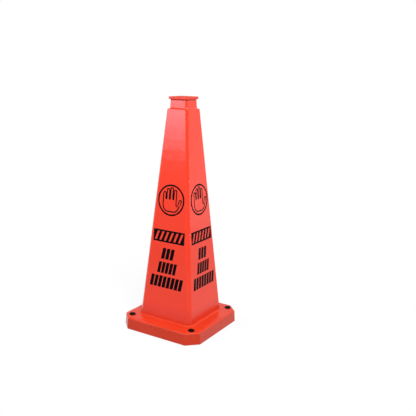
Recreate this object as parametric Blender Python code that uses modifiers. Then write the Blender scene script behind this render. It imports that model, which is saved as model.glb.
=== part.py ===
"""Four-sided floor safety cone: a tapered hollow body on a riveted, ballasted base, with a lipped cap.

Metres, +Z up. The origin is on the floor at the centre of the base, and the four printed faces look along
-Y, +X, +Y and -X. Every level cut through the cone, the base, the ballast and the cap is a square with
its corners cut off, so each of these pieces is a loft through such outlines.
"""

import math
from collections import namedtuple

import bmesh
import bpy
from mathutils import Matrix, Vector

# Whole object
OVERALL_HEIGHT = 0.914
SEAT_GAP = 0.0003

# Cone body
BODY_FOOT_CORNER_CUT = 0.013
SHOULDER_WIDTH = 0.0946
SHOULDER_CORNER_CUT = 0.008
SHOULDER_EDGE_RADIUS = 0.0015
BODY_WALL = 0.003
BODY_CORNER_ROUND = 0.005
FLANGE_THICKNESS = 0.003
FLANGE_WALL_CLEARANCE = 0.006
FLANGE_RIVET_MARGIN = 0.0125

# Neck and its cap
NECK_WIDTH = 0.078
NECK_DRAFT = math.radians(3.0)
NECK_HEIGHT = 0.036
NECK_CORNER_CUT = 0.005
NECK_ROOT_RADIUS = 0.004
NECK_CORNER_ROUND = 0.003
LIP_WIDTH = 0.0853
LIP_THICKNESS = 0.009
LIP_EDGE_RADIUS = 0.0015
LIP_COVE_RADIUS = 0.004
CAP_TOP_WALL = 0.003
PLUG_DEPTH = 0.024
PLUG_WALL = 0.0025
BEAD_HEIGHT = 0.0008
BEAD_LENGTH = 0.004
BEAD_BELOW_NECK_TOP = 0.012

# Base skirt
BASE_WIDTH = 0.358
DECK_LEDGE = 0.058
BASE_CORNER_CUT = 0.0425
BASE_CORNER_ROUND = 0.005
BASE_DRAFT = math.radians(3.0)
DECK_HEIGHT = 0.050
DECK_THICKNESS = 0.0035
SKIRT_WALL = 0.0035
SKIRT_FLOOR_GAP = 0.0015
SKIRT_FOOT_RADIUS = 0.0015
RIM_RADIUS = 0.006
COLLAR_HEIGHT = 0.007
COLLAR_LAND = 0.0015
RIB_SPACING = 0.150
RIB_THICKNESS = 0.003
RIB_ROOT = 0.002
NIB_REACH = 0.003
NIB_HEIGHT = 0.0025

# Ballast ring
BALLAST_THICKNESS = 0.0325
BALLAST_BODY_CLEARANCE = 0.00325
BALLAST_FLANGE_INSET = 0.003
BALLAST_EDGE_CUT = 0.002
BALLAST_HOLE_DIAMETER = 0.014

# Push rivets
RIVET_CORNER_INSET = 0.024
RIVET_HEAD_DIAMETER = 0.025
RIVET_HEAD_THICKNESS = 0.0035
RIVET_HEAD_BEVEL = 0.0007
RIVET_SHANK_DIAMETER = 0.008
RIVET_HOLE_CLEARANCE = 0.0003
RIVET_CATCH = 0.0009
RIVET_TAIL_LENGTH = 0.009
RIVET_TIP_DIAMETER = 0.006
RIVET_SLOT_WIDTH = 0.0012
PIN_DIAMETER = 0.0036
PIN_HEAD_DIAMETER = 0.010
PIN_HEAD_THICKNESS = 0.0014
PIN_SLOT_WIDTH = 0.0012
PIN_SLOT_LENGTH = 0.006
PIN_SLOT_DEPTH = 0.0006

# Rubber feet
FOOT_DIAMETER = 0.032
FOOT_EDGE_CUT = 0.0015
FOOT_STEM_LENGTH = 0.018
FOOT_CUP_DIAMETER = 0.011
FOOT_CUP_DEPTH = 0.001

# How finely round shapes are cut
ROUND_STEPS = 2
FILLET_STEPS = 4
TURN_STEPS = 24
SMOOTH_ANGLE = math.radians(30.0)

# The ledge of deck left all round sets the width of the body where it stands on the deck
BODY_FOOT_WIDTH = BASE_WIDTH - 2 * DECK_LEDGE

# Levels, from the floor up
DECK_UNDERSIDE = DECK_HEIGHT - DECK_THICKNESS
FLANGE_TOP = DECK_UNDERSIDE - SEAT_GAP
FLANGE_BOTTOM = FLANGE_TOP - FLANGE_THICKNESS
BALLAST_TOP = FLANGE_BOTTOM - SEAT_GAP
BALLAST_BOTTOM = BALLAST_TOP - BALLAST_THICKNESS
FOOT_TOP = BALLAST_BOTTOM - SEAT_GAP
COLLAR_TOP = DECK_HEIGHT + COLLAR_HEIGHT
LIP_UNDERSIDE = OVERALL_HEIGHT - LIP_THICKNESS
CAP_SEAT = LIP_UNDERSIDE - LIP_COVE_RADIUS
NECK_TOP = CAP_SEAT - SEAT_GAP
SHOULDER_HEIGHT = LIP_UNDERSIDE - NECK_HEIGHT

Section = namedtuple("Section", "flat corner z edge_round")


def corner_reach(flat, corner_cut):
    """Distance from the centre line to a cut corner, on a square with this half width and cut length."""
    return (2 * flat - corner_cut) / math.sqrt(2)


def grown(section, by, z=None):
    """The same outline moved outwards by a distance all round, at another level if z is given."""
    level = section.z if z is None else z
    return Section(section.flat + by, section.corner + by, level, section.edge_round)


def rounded(section, radius):
    """The same outline with another radius on its eight corners."""
    return Section(section.flat, section.corner, section.z, radius)


def body_section(z):
    """Outside of the tapered body at a level."""
    share = (z - DECK_HEIGHT) / (SHOULDER_HEIGHT - DECK_HEIGHT)
    foot_flat, top_flat = BODY_FOOT_WIDTH / 2, SHOULDER_WIDTH / 2
    foot_corner = corner_reach(foot_flat, BODY_FOOT_CORNER_CUT)
    top_corner = corner_reach(top_flat, SHOULDER_CORNER_CUT)
    flat = foot_flat + share * (top_flat - foot_flat)
    corner = foot_corner + share * (top_corner - foot_corner)
    return Section(flat, corner, z, BODY_CORNER_ROUND)


def neck_section(z):
    """Outside of the drafted neck at a level."""
    flat = NECK_WIDTH / 2 - (z - SHOULDER_HEIGHT) * math.tan(NECK_DRAFT)
    return Section(flat, corner_reach(flat, NECK_CORNER_CUT), z, NECK_CORNER_ROUND)


def skirt_section(z):
    """Outside of the drafted skirt wall at a level."""
    flat = BASE_WIDTH / 2
    floor_line = Section(flat, corner_reach(flat, BASE_CORNER_CUT), z, BASE_CORNER_ROUND)
    return grown(floor_line, -z * math.tan(BASE_DRAFT))


def rivet_reach():
    """Distance from the centre line to a rivet, along the diagonal."""
    return skirt_section(0).corner - RIVET_CORNER_INSET


def rivet_places():
    """Level position of each rivet, keyed by the corner that it is in."""
    along = rivet_reach() / math.sqrt(2)
    return {
        "front_left": Vector((-along, -along, 0)),
        "front_right": Vector((along, -along, 0)),
        "rear_right": Vector((along, along, 0)),
        "rear_left": Vector((-along, along, 0)),
    }


def flange_section(z):
    """Edge of the body's foot flange, kept clear of the skirt wall and carried out past the rivets."""
    flat = skirt_section(FLANGE_TOP).flat - SKIRT_WALL - FLANGE_WALL_CLEARANCE
    return Section(flat, rivet_reach() + FLANGE_RIVET_MARGIN, z, BASE_CORNER_ROUND)


def ballast_section(z):
    """Outside of the ballast ring, a little inside the flange that it sits under."""
    flange = flange_section(z)
    return Section(flange.flat - BALLAST_FLANGE_INSET, flange.corner, z, flange.edge_round)


def fillet(start, end, hollow):
    """Sections along a quarter round between two sections, both included, hollow or full."""
    sections = []
    for step in range(FILLET_STEPS + 1):
        turn = math.pi / 2 * step / FILLET_STEPS
        early, late = math.sin(turn), 1 - math.cos(turn)
        across, down = (late, early) if hollow else (early, late)
        sections.append(
            Section(
                start.flat + across * (end.flat - start.flat),
                start.corner + across * (end.corner - start.corner),
                start.z + down * (end.z - start.z),
                start.edge_round,
            )
        )
    return sections


def outline(section):
    """Points round a square with cut corners, each of its eight corners an arc."""
    flat = section.flat - section.edge_round
    side = math.sqrt(2) * (section.corner - section.edge_round) - flat
    arc_centres = ((flat, side, 0.0), (side, flat, math.pi / 4))
    points = []
    for quarter in range(4):
        turn = Matrix.Rotation(quarter * math.pi / 2, 2)
        for x, y, start in arc_centres:
            for step in range(ROUND_STEPS + 1):
                angle = start + math.pi / 4 * step / ROUND_STEPS
                point = Vector((x, y)) + section.edge_round * Vector((math.cos(angle), math.sin(angle)))
                points.append((turn @ point).to_3d() + Vector((0, 0, section.z)))
    return points


def clear_scene():
    """Removes whatever the file opened with."""
    for obj in list(bpy.data.objects):
        bpy.data.objects.remove(obj)


def collection(name):
    """A new collection in the scene."""
    made = bpy.data.collections.new(name)
    bpy.context.scene.collection.children.link(made)
    return made


def material(name, colour, roughness):
    """A plain plastic or rubber material."""
    made = bpy.data.materials.new(name)
    made.use_nodes = True
    shader = made.node_tree.nodes["Principled BSDF"]
    shader.inputs["Base Color"].default_value = (*colour, 1.0)
    shader.inputs["Roughness"].default_value = roughness
    shader.inputs["Metallic"].default_value = 0.0
    made.diffuse_color = (*colour, 1.0)
    return made


def add_object(name, mesh, group, finish):
    """An object for a mesh, shaded smooth apart from its sharp edges."""
    obj = bpy.data.objects.new(name, mesh)
    group.objects.link(obj)
    mesh.materials.append(finish)
    mesh.shade_smooth()
    mesh.set_sharp_from_angle(angle=SMOOTH_ANGLE)
    return obj


def mesh_from(name, shape):
    """A mesh from a bmesh, with its faces pointing out."""
    bmesh.ops.recalc_face_normals(shape, faces=shape.faces)
    mesh = bpy.data.meshes.new(name)
    shape.to_mesh(mesh)
    shape.free()
    return mesh


def loft(name, sections, ring):
    """A solid through level outlines, joined last to first as a ring or else capped at both ends."""
    shape = bmesh.new()
    loops = [[shape.verts.new(point) for point in outline(section)] for section in sections]
    following = loops[1:] + loops[:1] if ring else loops[1:]
    for lower, upper in zip(loops, following):
        for index in range(len(lower)):
            after = (index + 1) % len(lower)
            shape.faces.new((lower[index], lower[after], upper[after], upper[index]))
    if not ring:
        shape.faces.new(loops[0])
        shape.faces.new(loops[-1])
    return mesh_from(name, shape)


def turned(name, profile, group, finish):
    """A solid turned about its own Z axis from (radius, height) points, its outer side running down."""
    shape = bmesh.new()
    points = [shape.verts.new((radius, 0, z)) for radius, z in profile]
    pairs = list(zip(points, points[1:]))
    if profile[0][0] > 0:
        pairs.append((points[-1], points[0]))
    for pair in pairs:
        shape.edges.new(pair)
    mesh = bpy.data.meshes.new(name)
    shape.to_mesh(mesh)
    shape.free()
    obj = add_object(name, mesh, group, finish)
    screw = obj.modifiers.new("turn", "SCREW")
    screw.steps = screw.render_steps = TURN_STEPS
    screw.use_merge_vertices = True
    screw.merge_threshold = 0.00001
    screw.use_smooth_shade = True
    return obj


def cylinders(places, radius, low, high):
    """One mesh of upright cylinders, for cutting holes."""
    shape = bmesh.new()
    for place in places:
        bmesh.ops.create_cone(
            shape,
            cap_ends=True,
            segments=TURN_STEPS,
            radius1=radius,
            radius2=radius,
            depth=high - low,
            matrix=Matrix.Translation(place + Vector((0, 0, (low + high) / 2))),
        )
    return mesh_from("holes", shape)


def block(name, size, centre):
    """A level box, for cutting a slot."""
    shape = bmesh.new()
    scale = Matrix.Diagonal(Vector((*size, 1.0)))
    bmesh.ops.create_cube(shape, size=1.0, matrix=Matrix.Translation(centre) @ scale)
    return mesh_from(name, shape)


def combine(obj, mesh, operation, cutters):
    """Cuts a helper mesh from an object or joins it on, placed in the object's own frame."""
    helper = bpy.data.objects.new(f"{obj.name}_{mesh.name}", mesh)
    cutters.objects.link(helper)
    helper.location = obj.location
    helper.hide_render = True
    helper.display_type = "WIRE"
    boolean = obj.modifiers.new(mesh.name, "BOOLEAN")
    boolean.operation = operation
    boolean.object = helper


def cone_body(group, cutters, finish):
    """Tapered hollow body: foot flange, four walls, shoulder, and open neck with a bead groove inside."""
    inner_round = BODY_CORNER_ROUND - BODY_WALL
    shoulder = rounded(body_section(SHOULDER_HEIGHT), NECK_CORNER_ROUND)
    edge_top = grown(shoulder, -SHOULDER_EDGE_RADIUS)
    edge_side = body_section(SHOULDER_HEIGHT - SHOULDER_EDGE_RADIUS)
    neck_root = neck_section(SHOULDER_HEIGHT)
    ceiling = SHOULDER_HEIGHT - BODY_WALL
    bore = grown(rounded(neck_section(NECK_TOP), inner_round), -BODY_WALL)
    groove = NECK_TOP - BEAD_BELOW_NECK_TOP
    sections = [
        flange_section(FLANGE_BOTTOM),
        flange_section(FLANGE_TOP),
        body_section(FLANGE_TOP),
        *reversed(fillet(edge_top, edge_side, hollow=False)),
        *reversed(
            fillet(
                neck_section(SHOULDER_HEIGHT + NECK_ROOT_RADIUS),
                grown(neck_root, NECK_ROOT_RADIUS),
                hollow=True,
            )
        ),
        neck_section(NECK_TOP),
        bore,
        grown(bore, 0, groove + BEAD_LENGTH / 2 + BEAD_HEIGHT),
        grown(bore, BEAD_HEIGHT, groove + BEAD_LENGTH / 2),
        grown(bore, BEAD_HEIGHT, groove - BEAD_LENGTH / 2),
        grown(bore, 0, groove - BEAD_LENGTH / 2 - BEAD_HEIGHT),
        grown(bore, 0, ceiling),
        grown(rounded(body_section(ceiling), inner_round), -BODY_WALL),
        grown(rounded(body_section(FLANGE_BOTTOM), inner_round), -BODY_WALL),
    ]
    body = add_object("cone_body", loft("cone_body", sections, ring=True), group, finish)
    hole = RIVET_SHANK_DIAMETER / 2 + RIVET_HOLE_CLEARANCE
    span = (FLANGE_BOTTOM - FLANGE_THICKNESS, FLANGE_TOP + FLANGE_THICKNESS)
    combine(body, cylinders(rivet_places().values(), hole, *span), "DIFFERENCE", cutters)


def neck_cap(group, finish):
    """Square cap with a lip over a hollow cove, and a plug skirt whose bead snaps into the neck's groove."""
    lip_flat = LIP_WIDTH / 2
    lip = Section(lip_flat, corner_reach(lip_flat, NECK_CORNER_CUT), OVERALL_HEIGHT, NECK_CORNER_ROUND)
    cove_top = grown(neck_section(LIP_UNDERSIDE), LIP_COVE_RADIUS)
    plug = grown(rounded(neck_section(CAP_SEAT), BODY_CORNER_ROUND - BODY_WALL), -BODY_WALL - SEAT_GAP)
    plug_end = CAP_SEAT - PLUG_DEPTH
    bead = NECK_TOP - BEAD_BELOW_NECK_TOP
    inside = grown(plug, -PLUG_WALL)
    lip_side = grown(lip, 0, OVERALL_HEIGHT - LIP_EDGE_RADIUS)
    sections = [
        *fillet(grown(lip, -LIP_EDGE_RADIUS), lip_side, hollow=False),
        grown(lip, 0, LIP_UNDERSIDE + SEAT_GAP),
        grown(lip, -SEAT_GAP, LIP_UNDERSIDE),
        *reversed(fillet(neck_section(CAP_SEAT), cove_top, hollow=True)),
        plug,
        grown(plug, 0, bead + BEAD_LENGTH / 2),
        grown(plug, BEAD_HEIGHT, bead + BEAD_LENGTH / 2 - BEAD_HEIGHT),
        grown(plug, BEAD_HEIGHT, bead - BEAD_LENGTH / 2 + BEAD_HEIGHT),
        grown(plug, 0, bead - BEAD_LENGTH / 2),
        grown(plug, 0, plug_end),
        grown(inside, 0, plug_end),
        grown(inside, 0, OVERALL_HEIGHT - CAP_TOP_WALL),
    ]
    add_object("neck_cap", loft("neck_cap", sections, ring=False), group, finish)


def rib_mesh():
    """Eight ribs inside the skirt that centre the ballast, each with a snap nib that holds it up."""
    seat = ballast_section(BALLAST_BOTTOM).flat + SEAT_GAP
    nib_tip = seat - NIB_REACH
    nib_top = BALLAST_BOTTOM - SEAT_GAP
    top = BALLAST_TOP
    low = SKIRT_FLOOR_GAP + SKIRT_FOOT_RADIUS

    def root(z):
        return skirt_section(z).flat - SKIRT_WALL + RIB_ROOT

    profile = [
        (root(low), low),
        (seat, low),
        (nib_tip, nib_top - NIB_HEIGHT),
        (nib_tip, nib_top),
        (seat, nib_top),
        (seat, top),
        (root(top), top),
    ]
    curve = bpy.data.curves.new("rib", "CURVE")
    curve.dimensions = "2D"
    curve.fill_mode = "BOTH"
    curve.extrude = RIB_THICKNESS / 2
    spline = curve.splines.new("POLY")
    spline.points.add(len(profile) - 1)
    for point, (out, z) in zip(spline.points, profile):
        point.co = (out, z, 0, 1)
    spline.use_cyclic_u = True
    pattern = bpy.data.objects.new("rib", curve)
    bpy.context.scene.collection.objects.link(pattern)
    flat_rib = bpy.data.meshes.new_from_object(pattern.evaluated_get(bpy.context.evaluated_depsgraph_get()))
    bpy.data.objects.remove(pattern)

    stand_up = Matrix.Rotation(math.pi / 2, 4, "X")
    ribs = bmesh.new()
    for quarter in range(4):
        for side in (-1, 1):
            one = bmesh.new()
            one.from_mesh(flat_rib)
            along = Matrix.Translation((0, side * RIB_SPACING / 2, 0))
            one.transform(Matrix.Rotation(quarter * math.pi / 2, 4, "Z") @ along @ stand_up)
            placed = bpy.data.meshes.new("rib")
            one.to_mesh(placed)
            one.free()
            ribs.from_mesh(placed)
            bpy.data.meshes.remove(placed)
    bmesh.ops.remove_doubles(ribs, verts=ribs.verts, dist=0.000001)
    return mesh_from("ribs", ribs)


def base_skirt(group, cutters, finish):
    """Moulded base: collar round the cone's foot, flat deck, rounded rim, drafted skirt and ribs."""
    throat_top = grown(body_section(COLLAR_TOP), SEAT_GAP)
    land = grown(throat_top, COLLAR_LAND)
    collar_foot = grown(land, COLLAR_HEIGHT, DECK_HEIGHT)
    rim_side = skirt_section(DECK_HEIGHT - RIM_RADIUS)
    rim_top = grown(rim_side, -RIM_RADIUS, DECK_HEIGHT)
    foot_side = skirt_section(SKIRT_FLOOR_GAP + SKIRT_FOOT_RADIUS)
    foot_under = grown(foot_side, -SKIRT_FOOT_RADIUS, SKIRT_FLOOR_GAP)
    inner_round = BASE_CORNER_ROUND - SKIRT_WALL
    sections = [
        throat_top,
        *fillet(land, collar_foot, hollow=True),
        *fillet(rim_top, rim_side, hollow=False),
        *reversed(fillet(foot_under, foot_side, hollow=False)),
        grown(rounded(skirt_section(SKIRT_FLOOR_GAP), inner_round), -SKIRT_WALL),
        grown(rounded(skirt_section(DECK_UNDERSIDE), inner_round), -SKIRT_WALL),
        grown(body_section(DECK_UNDERSIDE), SEAT_GAP),
    ]
    skirt = add_object("base_skirt", loft("base_skirt", sections, ring=True), group, finish)
    combine(skirt, rib_mesh(), "UNION", cutters)
    hole = RIVET_SHANK_DIAMETER / 2 + RIVET_HOLE_CLEARANCE
    span = (DECK_UNDERSIDE - DECK_THICKNESS, DECK_HEIGHT + DECK_THICKNESS)
    combine(skirt, cylinders(rivet_places().values(), hole, *span), "DIFFERENCE", cutters)


def ballast_ring(group, cutters, finish):
    """Heavy rubber ring under the flange, bored at its corners for rivet tails and stems of the feet."""
    cut = BALLAST_EDGE_CUT
    opening_flat = BODY_FOOT_WIDTH / 2 + BALLAST_BODY_CLEARANCE
    opening = Section(opening_flat, corner_reach(opening_flat, BODY_FOOT_CORNER_CUT), 0, BODY_CORNER_ROUND)
    sections = [
        grown(ballast_section(BALLAST_BOTTOM), -cut),
        ballast_section(BALLAST_BOTTOM + cut),
        ballast_section(BALLAST_TOP - cut),
        grown(ballast_section(BALLAST_TOP), -cut),
        grown(opening, cut, BALLAST_TOP),
        grown(opening, 0, BALLAST_TOP - cut),
        grown(opening, 0, BALLAST_BOTTOM + cut),
        grown(opening, cut, BALLAST_BOTTOM),
    ]
    ring = add_object("ballast_ring", loft("ballast_ring", sections, ring=True), group, finish)
    span = (BALLAST_BOTTOM - cut, BALLAST_TOP + cut)
    bores = cylinders(rivet_places().values(), BALLAST_HOLE_DIAMETER / 2, *span)
    combine(ring, bores, "DIFFERENCE", cutters)


def push_rivet(corner, place, group, cutters, finish):
    """Two-piece push rivet: a headed sleeve with four sprung legs, and the pin that spreads them."""
    head_top = SEAT_GAP + RIVET_HEAD_THICKNESS
    head, shank = RIVET_HEAD_DIAMETER / 2, RIVET_SHANK_DIAMETER / 2
    bore = PIN_DIAMETER / 2 + SEAT_GAP
    recess = PIN_HEAD_DIAMETER / 2 + SEAT_GAP
    recess_floor = head_top - PIN_HEAD_THICKNESS - SEAT_GAP
    catch_start = FLANGE_BOTTOM - SEAT_GAP - DECK_HEIGHT
    catch_full = catch_start - RIVET_CATCH
    tip = catch_start - RIVET_TAIL_LENGTH
    sleeve_profile = [
        (recess, head_top),
        (head - RIVET_HEAD_BEVEL, head_top),
        (head, head_top - RIVET_HEAD_BEVEL),
        (head, SEAT_GAP),
        (shank, SEAT_GAP),
        (shank, catch_start),
        (shank + RIVET_CATCH, catch_full),
        (shank + RIVET_CATCH, catch_full - RIVET_CATCH),
        (RIVET_TIP_DIAMETER / 2, tip),
        (bore, tip),
        (bore, recess_floor),
        (recess, recess_floor),
    ]
    pin_profile = [
        (0, head_top),
        (PIN_HEAD_DIAMETER / 2, head_top),
        (PIN_HEAD_DIAMETER / 2, head_top - PIN_HEAD_THICKNESS),
        (PIN_DIAMETER / 2, head_top - PIN_HEAD_THICKNESS),
        (PIN_DIAMETER / 2, tip + PIN_DIAMETER),
        (PIN_DIAMETER / 4, tip + SEAT_GAP),
        (0, tip + SEAT_GAP),
    ]
    slot_low, slot_high = tip - RIVET_SLOT_WIDTH, FLANGE_TOP - DECK_HEIGHT
    slot_span = 2 * RIVET_HEAD_DIAMETER
    slot_centre = Vector((0, 0, (slot_low + slot_high) / 2))
    slot_height = slot_high - slot_low
    leg_slot = block("leg_slot", (slot_span, RIVET_SLOT_WIDTH, slot_height), slot_centre)
    cross_slot = block("cross_slot", (RIVET_SLOT_WIDTH, slot_span, slot_height), slot_centre)
    driver_size = (PIN_SLOT_LENGTH, PIN_SLOT_WIDTH, 2 * PIN_SLOT_DEPTH)
    driver_slot = block("driver_slot", driver_size, Vector((0, 0, head_top)))
    axis = place + Vector((0, 0, DECK_HEIGHT))
    sleeve = turned(f"rivet_sleeve_{corner}", sleeve_profile, group, finish)
    sleeve.location = axis
    combine(sleeve, leg_slot, "DIFFERENCE", cutters)
    combine(sleeve, cross_slot, "DIFFERENCE", cutters)
    pin = turned(f"rivet_pin_{corner}", pin_profile, group, finish)
    pin.location = axis
    combine(pin, driver_slot, "DIFFERENCE", cutters)


def rubber_foot(corner, place, group, finish):
    """Turned non-slip foot with a shallow cup underneath, its stem pressed up into the ballast's bore."""
    pad, stem = FOOT_DIAMETER / 2, BALLAST_HOLE_DIAMETER / 2 - SEAT_GAP
    cup, cut = FOOT_CUP_DIAMETER / 2, FOOT_EDGE_CUT
    stem_top = FOOT_TOP + FOOT_STEM_LENGTH
    profile = [
        (0, stem_top),
        (stem - cut, stem_top),
        (stem, stem_top - cut),
        (stem, FOOT_TOP),
        (pad - cut, FOOT_TOP),
        (pad, FOOT_TOP - cut),
        (pad, cut),
        (pad - cut, 0),
        (cup, 0),
        (cup - FOOT_CUP_DEPTH, FOOT_CUP_DEPTH),
        (0, FOOT_CUP_DEPTH),
    ]
    foot = turned(f"rubber_foot_{corner}", profile, group, finish)
    foot.location = place


def main():
    """Builds every piece at its place."""
    clear_scene()
    group = collection("safety_cone")
    cutters = collection("cutters")
    orange = material("orange_plastic", (0.93, 0.037, 0.007), 0.3)
    nylon = material("black_nylon", (0.012, 0.012, 0.014), 0.45)
    rubber = material("black_rubber", (0.018, 0.018, 0.018), 0.85)
    cone_body(group, cutters, orange)
    neck_cap(group, orange)
    base_skirt(group, cutters, orange)
    ballast_ring(group, cutters, rubber)
    for corner, place in rivet_places().items():
        push_rivet(corner, place, group, cutters, nylon)
        rubber_foot(corner, place, group, rubber)


main()
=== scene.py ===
"""Looks of a four-sided floor safety cone: fine moulded shells, dark printed marks, rivets and studio.

Metres, +Z up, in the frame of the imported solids. Every level cut through the orange mouldings is a
square with cut corners, so one geometry tree lofts them all from lists of such outlines.
"""

import logging
import math
from dataclasses import asdict, astuple, dataclass, fields, replace
from enum import Enum
from typing import Any, Callable, Sequence

import bmesh
import bpy
from mathutils import Matrix, Vector


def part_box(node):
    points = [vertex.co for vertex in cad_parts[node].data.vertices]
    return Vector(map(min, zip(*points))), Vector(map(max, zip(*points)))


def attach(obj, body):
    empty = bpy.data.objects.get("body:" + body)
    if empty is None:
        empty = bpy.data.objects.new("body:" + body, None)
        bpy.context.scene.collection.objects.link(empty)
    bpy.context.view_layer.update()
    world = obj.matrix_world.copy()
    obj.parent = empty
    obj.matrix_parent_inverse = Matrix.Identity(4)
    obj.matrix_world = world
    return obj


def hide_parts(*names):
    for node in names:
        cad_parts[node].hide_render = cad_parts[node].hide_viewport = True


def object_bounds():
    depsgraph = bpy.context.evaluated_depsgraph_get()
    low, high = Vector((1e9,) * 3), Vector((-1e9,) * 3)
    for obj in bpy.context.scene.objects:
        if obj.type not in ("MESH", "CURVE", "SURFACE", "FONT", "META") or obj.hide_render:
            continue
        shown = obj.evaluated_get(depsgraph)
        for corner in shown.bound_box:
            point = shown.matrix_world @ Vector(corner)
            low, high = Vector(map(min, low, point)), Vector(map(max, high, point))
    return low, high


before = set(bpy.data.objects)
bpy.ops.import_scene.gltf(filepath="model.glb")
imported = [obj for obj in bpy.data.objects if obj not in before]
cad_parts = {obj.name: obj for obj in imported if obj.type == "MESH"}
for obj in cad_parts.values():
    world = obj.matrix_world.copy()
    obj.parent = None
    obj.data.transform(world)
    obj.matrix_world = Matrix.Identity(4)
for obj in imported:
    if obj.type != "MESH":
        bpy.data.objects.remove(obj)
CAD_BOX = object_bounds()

LOG = logging.getLogger("floor_cone")
BODY = "root"
PICTURE_SIDE = 416
SENSOR_WIDTH = 36.0
QUARTER = math.pi / 2
SAME_PLACE = 1e-6
SHARP_EDGE = math.radians(40.0)
CORNERS = ("front_left", "front_right", "rear_right", "rear_left")
SLEEVE, PIN = "rivet_sleeve_front_right", "rivet_pin_front_right"

# How much rougher a gloss grows where the painted seam shade lies, where it is rubbed, and under dust.
SEAM_DULLING = 0.11
RUB_DULLING = 0.35
DUST_DULLING = 0.36

# Roughness of the darkest rubber crumb, and how much rougher the palest is.
CRUMB_ROUGHNESS = 0.74
CRUMB_DULLING = 0.14

# How many patches of gloss lie along a cloud of pigment, and the share of a hollow that dust wholly fills.
PATCHES_PER_CLOUD = 5.0
FILLED_SHARE = 0.4

# Fine scratches: how their noise is turned and stretched, and how much they show beside rubbed patches.
SCRATCH_TURN = (0.3, 0.5, 0.9)
SCRATCH_STRETCH = (12.0, 260.0, 90.0)
SCRATCH_SHARE = 0.45

# Sockets that several node groups share, as name and the last part of the socket's type.
SURFACE = {"Color": "Color", "Roughness": "Float", "Height": "Float"}
MASK = {"Mask": "Float"}
FACE_FIT = {"Wall At Floor": "Float", "Lean": "Float", "Lift": "Float"}
PRINTED = {**FACE_FIT, "Finish": "Material"}

# Levels under the floor keep a finish free of the painted seam shade and of gathered dust.
NO_SEAM_SHADE = {"soiled_from": -2.0, "soiled_below": -1.0}
NO_HOLLOW = -1.0

Socket = bpy.types.NodeSocket
Mesh = bpy.types.Mesh
Object = bpy.types.Object
Material = bpy.types.Material
Colour = tuple[float, float, float]
WHITE: Colour = (1.0, 1.0, 1.0)


class Slot(Enum):
    """Names of material slots, which are passed along with new pieces but used nowhere."""

    ORANGE = "orange_plastic"
    NYLON = "black_nylon"


class Bend(Enum):
    """Which way a quarter round bends between two outlines."""

    FULL = "full"
    HOLLOW = "hollow"


def maths_method(operation: str, swapped: bool = False) -> Callable[["Wire", Any], "Wire"]:
    """Makes an operator that adds one maths node.

    Args:
        operation: the maths node's operation.
        swapped: whether the wire comes second.

    Returns:
        The operator, for use as a method.
    """

    def operator(wire: "Wire", other: Any) -> "Wire":
        """Does the maths on a wire and on a number or another wire."""
        return wire.tree.math(operation, *((other, wire) if swapped else (wire, other)))

    return operator


class Wire:
    """A node's output, on which further maths can be done."""

    def __init__(self, tree: "Tree", socket: Socket) -> None:
        """Holds one output of a tree."""
        self.tree, self.socket = tree, socket

    __add__ = __radd__ = maths_method("ADD")
    __sub__ = maths_method("SUBTRACT")
    __rsub__ = maths_method("SUBTRACT", swapped=True)
    __mul__ = __rmul__ = maths_method("MULTIPLY")
    __truediv__ = maths_method("DIVIDE")
    __mod__ = maths_method("MODULO")
    __gt__ = maths_method("GREATER_THAN")
    __lt__ = maths_method("LESS_THAN")

    def __floordiv__(self, other: Any) -> "Wire":
        """How many whole times another goes into this."""
        return self.tree.math("FLOOR", self / other)


class Tree:
    """A node tree under construction."""

    def __init__(self, tree: bpy.types.NodeTree) -> None:
        """Starts on an existing tree."""
        self.tree = tree

    def fill(self, node: bpy.types.Node, inputs: dict[Any, Any]) -> None:
        """Fills a node's inputs, each with a wire or a plain value.

        Args:
            node: the node.
            inputs: what goes into its inputs, by name or number.
        """
        for key, value in inputs.items():
            if isinstance(value, Wire):
                self.tree.links.new(value.socket, node.inputs[key])
            else:
                node.inputs[key].default_value = value

    def node(self, kind: str, inputs: dict[Any, Any] | None = None, **settings: Any) -> bpy.types.Node:
        """Adds a node.

        Args:
            kind: the node's type name.
            inputs: what goes into its inputs, by name or number.
            **settings: the node's own properties.

        Returns:
            The new node.
        """
        made = self.tree.nodes.new(kind)
        for name, value in settings.items():
            setattr(made, name, value)
        self.fill(made, inputs or {})
        return made

    def make(
        self, kind: str, inputs: dict[Any, Any] | None = None, output: Any = 0, **settings: Any
    ) -> Wire:
        """Adds a node and gives one of its outputs, by name or number."""
        return Wire(self, self.node(kind, inputs, **settings).outputs[output])

    def math(self, operation: str, *values: Any) -> Wire:
        """Adds a maths node on numbers or wires."""
        return self.make("ShaderNodeMath", dict(enumerate(values)), operation=operation)

    def axes(self, vector: Wire) -> list[Wire]:
        """The three parts of a vector."""
        parts = self.node("ShaderNodeSeparateXYZ", {"Vector": vector}).outputs
        return [Wire(self, part) for part in parts]

    def vector(self, x: Any, y: Any, z: Any) -> Wire:
        """Joins three numbers or wires into a vector."""
        return self.make("ShaderNodeCombineXYZ", {"X": x, "Y": y, "Z": z})

    def mix(self, factor: Any, first: Any, second: Any) -> Wire:
        """A mix of two colours."""
        return self.make("ShaderNodeMix", {0: factor, 6: first, 7: second}, output=2, data_type="RGBA")

    def mix_shaders(self, factor: Any, first: Wire, second: Wire) -> Wire:
        """A mix of two shaders."""
        return self.make("ShaderNodeMixShader", {0: factor, 1: first, 2: second})


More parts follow.
